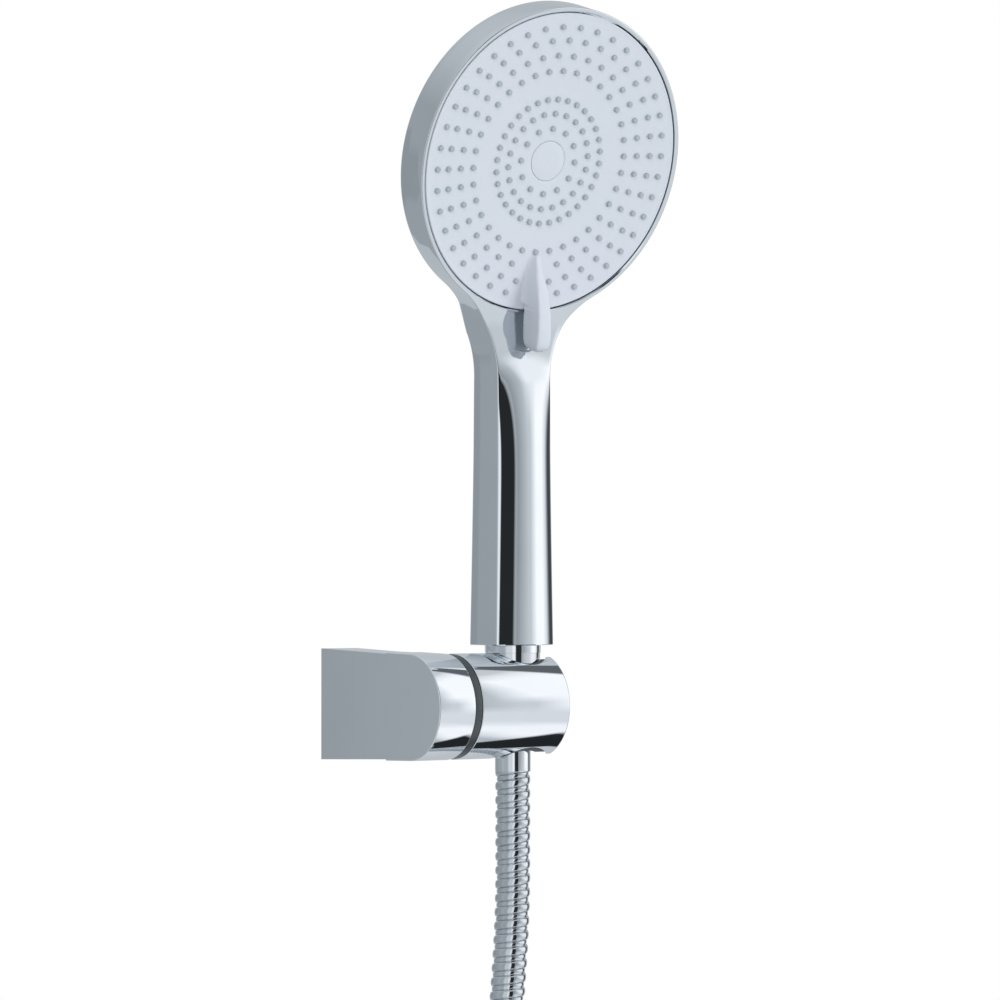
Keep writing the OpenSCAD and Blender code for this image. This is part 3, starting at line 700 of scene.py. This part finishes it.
tip = one_tip()
tip_faces = len(tip.faces)
tips = bmesh.new()
tip_mesh = bpy.data.meshes.new("tip")
tip.to_mesh(tip_mesh)
tip.free()
count = 0
random.seed(7)
for radius, number, shift in RINGS:
    for k in range(number):
        a = math.pi / 2 + math.tau * (k + shift) / number
        x, up = radius * math.cos(a), radius * math.sin(a)
        if up < LEVER_TIP and abs(x) < LEVER_CLEAR:
            continue
        before = len(tips.verts)
        tips.from_mesh(tip_mesh)
        tips.verts.ensure_lookup_table()
        lean = Matrix.Rotation(random.uniform(-TIP_LEAN, TIP_LEAN), 4, "X")
        place = FACE_SET @ Matrix.Translation((x, up, plate_height(radius))) @ lean
        bmesh.ops.transform(tips, matrix=place, verts=tips.verts[before:])
        count += 1
nozzles = piece(tips, "silicone_tips", "selector", ["nozzle_mat"], corner=40, turn_out=False)
print(count, "tips of", tip_faces, "faces")

# %% [markdown]
# ## The bracket
# The fixed base is a D-shaped block, and the tilting holder is a short barrel on the same axis
# with a dark friction ring between them. Their corners are bevelled a little, as plated plastic
# always is: a corner with no radius never catches the light.

# %% The fixed base
low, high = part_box("base_shell")
BASE_HALF = high.x / MM
BARREL_R = (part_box("holder_shell")[1].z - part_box("holder_shell")[0].z) / 2 / MM
PROJECTION = -bore.y
BASE_H = (high.z - low.z) / MM
TAPER_END, TAPER_STEP = PROJECTION - 16, 0.4


def base_solid():
    """The base's side outline, a D with its round end away from the wall, pushed out to its width."""
    bm = bmesh.new()
    outline = [(0, -BASE_H / 2), (TAPER_END, -BARREL_R - TAPER_STEP)]
    outline += [(PROJECTION + x, z) for x, z in arc(0, 0, BARREL_R, -90, 90, 48)]
    outline += [(TAPER_END, BARREL_R + TAPER_STEP), (0, BASE_H / 2)]
    side = bm.faces.new([bm.verts.new((-BASE_HALF, -y, z)) for y, z in outline])
    grown = bmesh.ops.extrude_face_region(bm, geom=[side])["geom"]
    bmesh.ops.translate(bm, vec=(2 * BASE_HALF, 0, 0), verts=new_verts(grown))
    bmesh.ops.recalc_face_normals(bm, faces=bm.faces)
    ends = [e for e in bm.edges if e.calc_face_angle(0) > 1 and max(v.co.y for v in e.verts) < -0.01]
    bmesh.ops.bevel(bm, geom=ends, affect="EDGES", offset=0.55, segments=4, profile=0.5, material=-1)
    return bm


base = piece(base_solid(), "bracket_base", "root", ["base_shell"], corner=25)
print("base", round(2 * BASE_HALF, 1), "mm wide,", round(BASE_H, 1), "mm high")

# %% The barrel, its bore and its open side
ALONG_X = Matrix.Translation((0, bore.y, 0)) @ Matrix.Rotation(math.pi / 2, 4, "Y")
low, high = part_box("holder_shell")
HOLDER_X0, HOLDER_X1 = low.x / MM, high.x / MM
SHELL_BORE_R = 13.15
# the hose goes in sideways, through a slot 2 mm narrower than its stem's flange
SLOT_W = (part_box("hose_stem")[1].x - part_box("hose_stem")[0].x) / MM - 2.0
THROUGH, SLOT_REACH = 30, 20     # the cutters reach past the barrel


def barrel():
    profile = [(0, HOLDER_X0)] + arc(BARREL_R - 0.3, HOLDER_X0 + 0.3, 0.3, -90, 0, 3) \
        + arc(BARREL_R - 0.9, HOLDER_X1 - 0.9, 0.9, 0, 90, 6) + [(0, HOLDER_X1)]
    bm = turned(profile, ALONG_X, 160)
    hole = turned([(0, -THROUGH), (SHELL_BORE_R, -THROUGH), (SHELL_BORE_R, THROUGH), (0, THROUGH)], BORE, 128)
    bm = carve(bm, hole)
    slot = bmesh.new()
    bmesh.ops.create_cube(slot, size=1)
    bmesh.ops.scale(slot, vec=(SLOT_REACH, SLOT_W, 2 * THROUGH), verts=slot.verts)
    bmesh.ops.translate(slot, vec=(bore.x + SLOT_REACH / 2, bore.y, 0), verts=slot.verts)
    bm = carve(bm, slot)
    bmesh.ops.remove_doubles(bm, verts=bm.verts, dist=0.01)
    corners = [e for e in bm.edges if len(e.link_faces) == 2 and e.calc_face_angle(0) > 0.6]
    bmesh.ops.bevel(bm, geom=corners, affect="EDGES", offset=0.4, segments=3, profile=0.5, material=-1,
                    clamp_overlap=True)
    return bm


holder = piece(barrel(), "tilting_barrel", "holder", ["holder_shell"], corner=30)
print("barrel faces", len(holder.data.polygons), "slot", round(SLOT_W, 1))

# %% The friction ring
RING_R = BARREL_R - 0.3
low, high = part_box("friction_ring")
x0, x1 = low.x / MM, high.x / MM
ring_profile = [(6, x0)] + arc(RING_R - 0.3, x0 + 0.3, 0.3, -90, 0, 3) \
    + arc(RING_R - 0.3, x1 - 0.3, 0.3, 0, 90, 3) + [(6, x1), (6, x0)]
friction = piece(turned(ring_profile, ALONG_X, 128), "friction_band", "root",
                 ["friction_ring"], corner=40)
print("friction band", round(x1 - x0, 1), "mm wide")

# %% The conical nut, with a fine groove round its neck
NUT_TOP_R, NUT_NECK_Z, NUT_LOW_R, NUT_BORE = 11.2, 21.0, 9.6, 7.75
low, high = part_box("cone_nut")
z0, z1 = low.z / MM, high.z / MM
nut_groove = [(NUT_TOP_R - 0.22, NUT_NECK_Z - 0.12), (NUT_TOP_R - 0.3, NUT_NECK_Z),
              (NUT_TOP_R - 0.05, NUT_NECK_Z + 0.12)]
nut_profile = [(NUT_BORE, z0)] + arc(NUT_LOW_R - 0.5, z0 + 0.5, 0.5, -90, 0, 4) + nut_groove \
    + arc(NUT_TOP_R - 0.3, z1 - 0.3, 0.3, 0, 90, 3) + [(NUT_BORE, z1), (NUT_BORE, z0)]
nut = piece(turned(nut_profile, BORE, 128), "conical_nut", "hose_end", ["cone_nut"],
            corner=35)
print("nut", round(z1 - z0, 1), "mm high")


# %% [markdown]
# ## Shared surface effects
# Two effects turn up in several finishes, so each is one node group with named inputs. Handling
# marks are soft cloudy changes in gloss, as fingers and dried water leave them. Mould grain is a
# fine unevenness in height and a faint change in tone.

# %% Node groups
def new_group(name, inputs, outputs):
    group = bpy.data.node_groups.new(name, "ShaderNodeTree")
    for label, kind, value in inputs:
        socket = group.interface.new_socket(name=label, in_out="INPUT", socket_type=kind)
        socket.default_value = value
    for label, kind in outputs:
        group.interface.new_socket(name=label, in_out="OUTPUT", socket_type=kind)
    return group, group.nodes.new("NodeGroupInput"), group.nodes.new("NodeGroupOutput")


def add(nodes, kind, **settings):
    node = nodes.new(kind)
    for key, value in settings.items():
        setattr(node, key, value)
    return node


def feed(tree, socket, value):
    """Sets a plain number on a socket, or links another node's output to it."""
    if isinstance(value, (int, float)):
        socket.default_value = value
    else:
        tree.links.new(value, socket)


def noise(tree, vector, scale, detail):
    node = add(tree.nodes, "ShaderNodeTexNoise")
    node.inputs["Detail"].default_value = detail
    feed(tree, node.inputs["Vector"], vector)
    feed(tree, node.inputs["Scale"], scale)
    return node.outputs["Fac"]


def math_node(tree, operation, a, b=0):
    node = add(tree.nodes, "ShaderNodeMath", operation=operation)
    feed(tree, node.inputs[0], a)
    feed(tree, node.inputs[1], b)
    return node.outputs[0]


def stretch_range(tree, value, low, high, to_low, to_high):
    node = add(tree.nodes, "ShaderNodeMapRange")
    for key, given in (("Value", value), ("From Min", low), ("From Max", high),
                       ("To Min", to_low), ("To Max", to_high)):
        feed(tree, node.inputs[key], given)
    return node.outputs["Result"]


def blend_colours(tree, factor, first, second):
    """Mixes two colours, each a colour's three numbers or another node's output."""
    mix = add(tree.nodes, "ShaderNodeMix", data_type="RGBA")
    tree.links.new(factor, mix.inputs["Factor"])
    for key, colour in (("A", first), ("B", second)):
        if isinstance(colour, bpy.types.NodeSocket):
            tree.links.new(colour, mix.inputs[key])
        else:
            mix.inputs[key].default_value = (*colour, 1)
    return mix.outputs["Result"]


# %% The two effects
CLOUD_SCALE = 22.0  # the change in tone is a few centimetres across


def handling_marks():
    group, given, out = new_group("handling_marks", [
        ("Position", "NodeSocketVector", (0, 0, 0)), ("Size", "NodeSocketFloat", 30.0),
        ("Clean", "NodeSocketFloat", 0.03), ("Touched", "NodeSocketFloat", 0.08)],
        [("Roughness", "NodeSocketFloat"), ("Marks", "NodeSocketFloat")])
    cloud = noise(group, given.outputs["Position"], given.outputs["Size"], 3)
    marks = stretch_range(group, cloud, 0.42, 0.72, 0, 1)
    rough = stretch_range(group, marks, 0, 1, given.outputs["Clean"], given.outputs["Touched"])
    group.links.new(rough, out.inputs["Roughness"])
    group.links.new(marks, out.inputs["Marks"])
    return group


def mould_grain():
    group, given, out = new_group("mould_grain", [
        ("Position", "NodeSocketVector", (0, 0, 0)), ("Grain", "NodeSocketFloat", 1800.0),
        ("Tone", "NodeSocketColor", (0.6, 0.65, 0.75, 1)),
        ("Shade", "NodeSocketColor", (0.5, 0.55, 0.65, 1))],
        [("Colour", "NodeSocketColor"), ("Height", "NodeSocketFloat")])
    cloud = stretch_range(group, noise(group, given.outputs["Position"], CLOUD_SCALE, 2), 0.35, 0.65, 0, 1)
    colour = blend_colours(group, cloud, given.outputs["Tone"], given.outputs["Shade"])
    height = noise(group, given.outputs["Position"], given.outputs["Grain"], 2)
    group.links.new(colour, out.inputs["Colour"])
    group.links.new(height, out.inputs["Height"])
    return group


MARKS = handling_marks()
GRAIN = mould_grain()
print("effects:", MARKS.name, "and", GRAIN.name)

# %% [markdown]
# ## Finishes
# Chrome is almost a pure mirror: it has hardly any colour of its own, and what makes it look real
# is what it reflects and how slightly uneven its polish is. The plastics are the opposite: their
# colour matters and their gloss is soft.

# %% Metal finishes
def blank(name):
    made = bpy.data.materials.new(name)
    made.use_nodes = True
    nodes = made.node_tree.nodes
    return made, made.node_tree, nodes["Principled BSDF"], add(nodes, "ShaderNodeTexCoord").outputs["Object"]


def bump(tree, height, strength, distance, shader):
    node = add(tree.nodes, "ShaderNodeBump")
    node.inputs["Strength"].default_value = strength
    node.inputs["Distance"].default_value = distance
    tree.links.new(height, node.inputs["Height"])
    tree.links.new(node.outputs["Normal"], shader.inputs["Normal"])


def marked(tree, where, shader, size, clean, touched):
    """Handling marks on a finish's gloss; gives the marks' mask for its colour."""
    marks = add(tree.nodes, "ShaderNodeGroup", node_tree=MARKS)
    tree.links.new(where, marks.inputs["Position"])
    marks.inputs["Size"].default_value = size
    marks.inputs["Clean"].default_value = clean
    marks.inputs["Touched"].default_value = touched
    tree.links.new(marks.outputs["Roughness"], shader.inputs["Roughness"])
    return marks.outputs["Marks"]


def metal(name, colour, clean, touched, size=30.0, tint=None):
    """A plated or bare metal: clean and touched are its two roughnesses, tint its colour where touched."""
    made, tree, shader, where = blank(name)
    shader.inputs["Metallic"].default_value = 1.0
    marks = marked(tree, where, shader, size, clean, touched)
    dulled = tint or [c * 0.93 for c in colour]
    tree.links.new(blend_colours(tree, marks, colour, dulled), shader.inputs["Base Color"])
    return made


chrome = metal("chrome", (0.79, 0.83, 0.86), 0.03, 0.05, tint=(0.765, 0.805, 0.835))
bracket_chrome = metal("bracket_chrome", (0.90, 0.93, 0.96), 0.03, 0.06, tint=(0.87, 0.90, 0.935))
hose_chrome = metal("hose_chrome", (0.70, 0.735, 0.77), 0.06, 0.12, size=90.0)
fitting_chrome = metal("fitting_chrome", (0.82, 0.85, 0.88), 0.05, 0.1, size=60.0)
steel = metal("steel", (0.55, 0.56, 0.57), 0.25, 0.4, size=120.0)
brass = metal("brass", (0.78, 0.58, 0.28), 0.2, 0.35, size=120.0, tint=(0.6, 0.42, 0.2))


# %% Plastic, silicone and rubber finishes
def plastic(name, tone, shade, rough, touched, grain=1800.0, relief=2e-6, soft=0.0):
    made, tree, shader, where = blank(name)
    skin = add(tree.nodes, "ShaderNodeGroup", node_tree=GRAIN)
    tree.links.new(where, skin.inputs["Position"])
    skin.inputs["Grain"].default_value = grain
    skin.inputs["Tone"].default_value = (*tone, 1)
    skin.inputs["Shade"].default_value = (*shade, 1)
    tree.links.new(skin.outputs["Colour"], shader.inputs["Base Color"])
    marked(tree, where, shader, 40.0, rough, touched)
    shader.inputs["Subsurface Weight"].default_value = soft
    shader.inputs["Subsurface Radius"].default_value = (0.002, 0.002, 0.002)
    bump(tree, skin.outputs["Height"], 0.6, relief, shader)
    return made


face_plastic = plastic("face_plastic", (0.665, 0.70, 0.765), (0.65, 0.695, 0.75), 0.36, 0.46)
silicone = plastic("silicone", (0.44, 0.48, 0.53), (0.40, 0.47, 0.485), 0.42, 0.5, grain=900.0, soft=0.1)
dark_plastic = plastic("dark_plastic", (0.055, 0.068, 0.072), (0.045, 0.056, 0.06), 0.3, 0.42, relief=4e-6)
# painted shade: a near-black finish for the cavity's walls, standing in for the shade in the gap round the
# spray face
cavity_shade_plastic = plastic("cavity_shade_plastic", (0.02, 0.022, 0.026), (0.015, 0.017, 0.02), 0.45, 0.6)
white_plastic = plastic("white_plastic", (0.72, 0.72, 0.7), (0.66, 0.66, 0.64), 0.35, 0.5)
green_plastic = plastic("green_plastic", (0.05, 0.3, 0.14), (0.04, 0.25, 0.11), 0.35, 0.5)
rubber = plastic("rubber", (0.02, 0.02, 0.02), (0.03, 0.03, 0.03), 0.6, 0.75, relief=8e-6)


# %% [markdown]
# The strap round the stored hose is woven nylon. Its weave is two crossing waves: where one
# thread goes over, the other goes under. Where the threads dip, the colour is darkened as painted shade.

# %% Woven strap
def woven(name, colour):
    made, tree, shader, where = blank(name)
    spin = add(tree.nodes, "ShaderNodeMapping")
    spin.inputs["Rotation"].default_value = (0, swing_angle, 0)
    tree.links.new(where, spin.inputs["Vector"])
    heights = []
    for direction in ("Z", "Y"):
        wave = add(tree.nodes, "ShaderNodeTexWave", bands_direction=direction)
        wave.inputs["Scale"].default_value = 190.0
        wave.inputs["Distortion"].default_value = 0.6
        tree.links.new(spin.outputs["Vector"], wave.inputs["Vector"])
        heights.append(wave.outputs["Fac"])
    weave = math_node(tree, "MULTIPLY", *heights)
    # painted shade: the thread colour darkens where the threads dip under each other
    shade_between_threads = [c * 0.4 for c in colour]
    tree.links.new(blend_colours(tree, weave, shade_between_threads, colour), shader.inputs["Base Color"])
    tree.links.new(stretch_range(tree, weave, 0, 1, 0.9, 0.65), shader.inputs["Roughness"])
    bump(tree, weave, 0.8, 1.5e-4, shader)
    return made


strap_cloth = woven("strap_cloth", (0.06, 0.063, 0.07))


# %% Dress the pieces and the nodes that stay
def dress(thing, *finishes):
    thing.data.materials.clear()
    for finish in finishes:
        thing.data.materials.append(finish)


# the handset's second finish is painted shade on the cavity's walls
dress(handset, chrome, cavity_shade_plastic)
dress(screw, steel)
for thing in (base, holder):
    dress(thing, bracket_chrome)
for thing in (nut, sleeve):
    dress(thing, fitting_chrome)
dress(hose, hose_chrome)
dress(strap, strap_cloth)
dress(friction, dark_plastic)
for thing in (plate, cap, lever):
    dress(thing, face_plastic)
dress(nozzles, silicone)

NODE_FINISH = {
    steel: ("wall_plate", "grub_screw", "pivot_screw", "wave_washer", "upper_ferrule", "lower_ferrule",
            "inlet_filter", "housing_screws", "detent_spring", "detent_ball"),
    brass: ("pivot_insert", "hose_stem", "tail_stem"),
    fitting_chrome: ("wall_nut",),
    dark_plastic: ("holder_liner", "diverter_disc"),
    white_plastic: ("pivot_bush", "waterway", "spray_housing", "distributor"),
    green_plastic: ("flow_restrictor",),
    rubber: ("inlet_washer", "chamber_seal", "nut_washer"),
}
for finish, names in NODE_FINISH.items():
    for name in names:
        for slot in frame["nodes"][name].material_slots:
            slot.material = finish
print("dressed", sum(len(n) for n in NODE_FINISH.values()), "nodes")


# %% [markdown]
# ## The studio
# Chrome shows its surroundings and nothing else, so the room is the light. A real product studio
# is a white tent with a few grey and black cards; here the world's own colour is painted with
# such cards, each a patch of directions with soft edges. The background behind the object stays
# plain white, and the floor is pale.

# %% Cards round the object
def card_tint(tone):
    """A card's grey: the darker the card, the cooler it is."""
    return tone * (0.875 + 0.10 * tone), tone * 0.99, tone * (1.075 - 0.055 * tone)


def world_cards(cards, ground):
    """cards: (from azimuth, to azimuth, from elevation, to elevation, soft edge, grey), in degrees."""
    world = bpy.data.worlds.new("studio")
    world.use_nodes = True
    tree = world.node_tree
    tree.nodes.clear()
    where = add(tree.nodes, "ShaderNodeTexCoord").outputs["Generated"]
    parts = add(tree.nodes, "ShaderNodeSeparateXYZ")
    tree.links.new(where, parts.inputs[0])
    minus_y = math_node(tree, "MULTIPLY", parts.outputs["Y"], -1)
    around = math_node(tree, "ARCTAN2", parts.outputs["X"], minus_y)
    azimuth = math_node(tree, "MULTIPLY", around, math.degrees(1))
    elevation = math_node(tree, "MULTIPLY", math_node(tree, "ARCSINE", parts.outputs["Z"]), math.degrees(1))

    def window(value, low, high, soft):
        rise = stretch_range(tree, value, low - soft, low + soft, 0, 1)
        fall = stretch_range(tree, value, high - soft, high + soft, 1, 0)
        return math_node(tree, "MULTIPLY", rise, fall)

    colour = add(tree.nodes, "ShaderNodeRGB").outputs[0]
    colour.default_value = (*ground, 1)
    for az0, az1, el0, el1, soft, tone in cards:
        across, upright = window(azimuth, az0, az1, soft), window(elevation, el0, el1, soft)
        mask = math_node(tree, "MULTIPLY", across, upright)
        colour = blend_colours(tree, mask, colour, card_tint(tone))
    room = add(tree.nodes, "ShaderNodeBackground")
    tree.links.new(colour, room.inputs["Color"])
    white = add(tree.nodes, "ShaderNodeBackground")
    white.inputs["Color"].default_value = (1, 1, 1, 1)
    white.inputs["Strength"].default_value = 1.0
    path = add(tree.nodes, "ShaderNodeLightPath")
    choose = add(tree.nodes, "ShaderNodeMixShader")
    tree.links.new(path.outputs["Is Camera Ray"], choose.inputs["Fac"])
    tree.links.new(room.outputs[0], choose.inputs[1])
    tree.links.new(white.outputs[0], choose.inputs[2])
    out = add(tree.nodes, "ShaderNodeOutputWorld")
    tree.links.new(choose.outputs[0], out.inputs["Surface"])
    bpy.context.scene.world = world


# azimuth 0 is straight out from the wall and grows towards the shower's right side (+X)
CARDS = [
    (-220, -100, -90, 90, 20, 0.40),      # room behind on the left
    (-220, -144.8, -12, 14, 1.2, 0.35),   # its darker edge, seen in the bracket's flat end
    (-220, -100, 44, 90, 18, 0.66),       # paler towards the ceiling
    (100, 220, -46, 52, 12, 0.55),        # room behind on the right
    (-100, -24, -60, 50, 6, 0.45),        # left of the camera and round it
    (-66, -24, -60, 50, 5, 0.75),         # and nearer to it
    (-38, -24, -44, 44, 2, 1.0),          # a narrow white card by the camera
    (2, 84, -62, 50, 4, 0.38),            # big soft box in front on the right, its grey edge
    (20, 82, -56, 50, 12, 0.68),          # its paler part
    (44, 77, -50, 50, 8, 1.2),            # its bright middle
    (8, 84, -34, -6, 6, 0.76),            # below its middle
    (31, 84, 12, 52, 6, 1.05),            # upper half of the box
    (20, 76, -50, -32, 6, 1.0),           # the box's bottom
    (-24.5, 1, -40, 44, 2.2, 0.025),      # black card in front
    (84, 102, -46, 46, 4, 0.07),          # black card at the right edge
    (75, 103, 40, 70, 2.5, 0.13),         # dark bar above the box
    (66, 113, -68, -42, 2.5, 0.02),       # dark floor on the right
]
world_cards(CARDS, (0.6, 0.62, 0.65))
print(len(CARDS), "cards")

# %% Floor and two soft lights
def floor_disc(radius, height):
    bm = bmesh.new()
    bmesh.ops.create_circle(bm, cap_ends=True, segments=96, radius=radius)
    bmesh.ops.translate(bm, vec=(0, 0, height), verts=bm.verts)
    mesh = bpy.data.meshes.new("floor")
    bm.to_mesh(mesh)
    bm.free()
    made = bpy.data.objects.new("floor", mesh)
    bpy.context.scene.collection.objects.link(made)
    return made


FLOOR_R, FLOOR_GAP = 1.6, 0.04
floor = floor_disc(FLOOR_R, cad_box[0].z - FLOOR_GAP)
floor.visible_glossy = False
floor_paint = plastic("floor_paint", (0.85, 0.85, 0.85), (0.83, 0.83, 0.83), 0.7, 0.8)
dress(floor, floor_paint)
LIGHT_AIM = Vector((0.04, -0.06, 0.12))


def soft_light(name, place, size, power):
    data = bpy.data.lights.new(name, "AREA")
    data.energy = power
    data.size = size
    made = bpy.data.objects.new(name, data)
    made.location = place
    made.rotation_euler = (LIGHT_AIM - made.location).to_track_quat("-Z", "Y").to_euler()
    made.visible_glossy = False
    bpy.context.scene.collection.objects.link(made)


soft_light("soft_left", (-0.5, -1.1, 0.9), 0.9, 5.0)
soft_light("soft_right", (0.9, -1.3, 0.2), 0.6, 7.0)
bpy.context.scene.view_settings.view_transform = "Standard"
